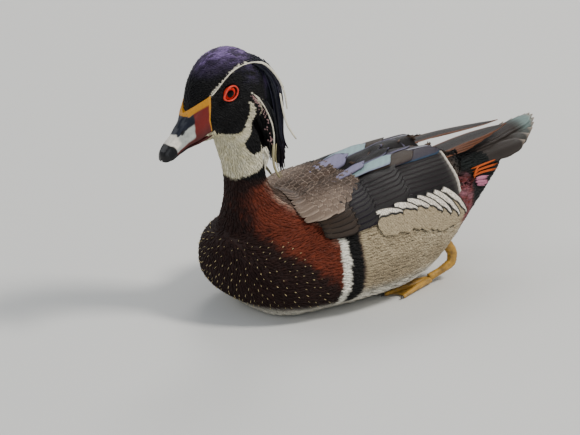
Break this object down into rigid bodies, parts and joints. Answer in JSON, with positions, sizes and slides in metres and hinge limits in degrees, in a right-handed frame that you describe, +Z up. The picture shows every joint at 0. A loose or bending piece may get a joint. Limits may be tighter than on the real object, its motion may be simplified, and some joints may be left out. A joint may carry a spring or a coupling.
{
  "type": "wood duck figure",
  "caption": "Life-size drake wood duck in a still swimming pose, crested head up, wings folded, belly flat and feet tucked under, so that it rests level.",
  "frame": {"origin": "centre of the flat of the belly, on the floor plane", "axes": "-Y towards the bill, +X to the bird's left side, +Z up"},
  "size_m": [0.1312, 0.3348, 0.2006],
  "materials": {
    "head_plumage": "black, glossed green and purple",
    "white_plumage": "soft white",
    "breast_plumage": "chestnut with small cream spots",
    "back_plumage": "bronze brown",
    "wing_plumage": "dark with violet and blue gloss",
    "flank_plumage": "buff with fine dark lines",
    "rump_plumage": "black with green gloss",
    "tail_plumage": "dark brown, paler at the tips",
    "bill_horn": "satin",
    "eye": "wet gloss",
    "eyelid_skin": "satin",
    "foot_skin": "satin"
  },
  "bodies": {
    "root": {"bill_lower": "bill_horn", "bill_upper": "bill_horn", "breast": "breast_plumage", "crest": "head_plumage", "eye_left": "eye", "eye_right": "eye", "eyelid_left": "eyelid_skin", "eyelid_right": "eyelid_skin", "flank_left": "flank_plumage", "flank_right": "flank_plumage", "foot_left": "foot_skin", "foot_right": "foot_skin", "head": "head_plumage", "leg_left": "foot_skin", "leg_right": "foot_skin", "neck": "white_plumage", "primaries_left": "wing_plumage", "primaries_right": "wing_plumage", "rump": "rump_plumage", "scapulars_left": "back_plumage", "scapulars_right": "back_plumage", "tail": "tail_plumage", "torso": "flank_plumage", "wing_left": "wing_plumage", "wing_right": "wing_plumage"}
  },
  "joints": []
}
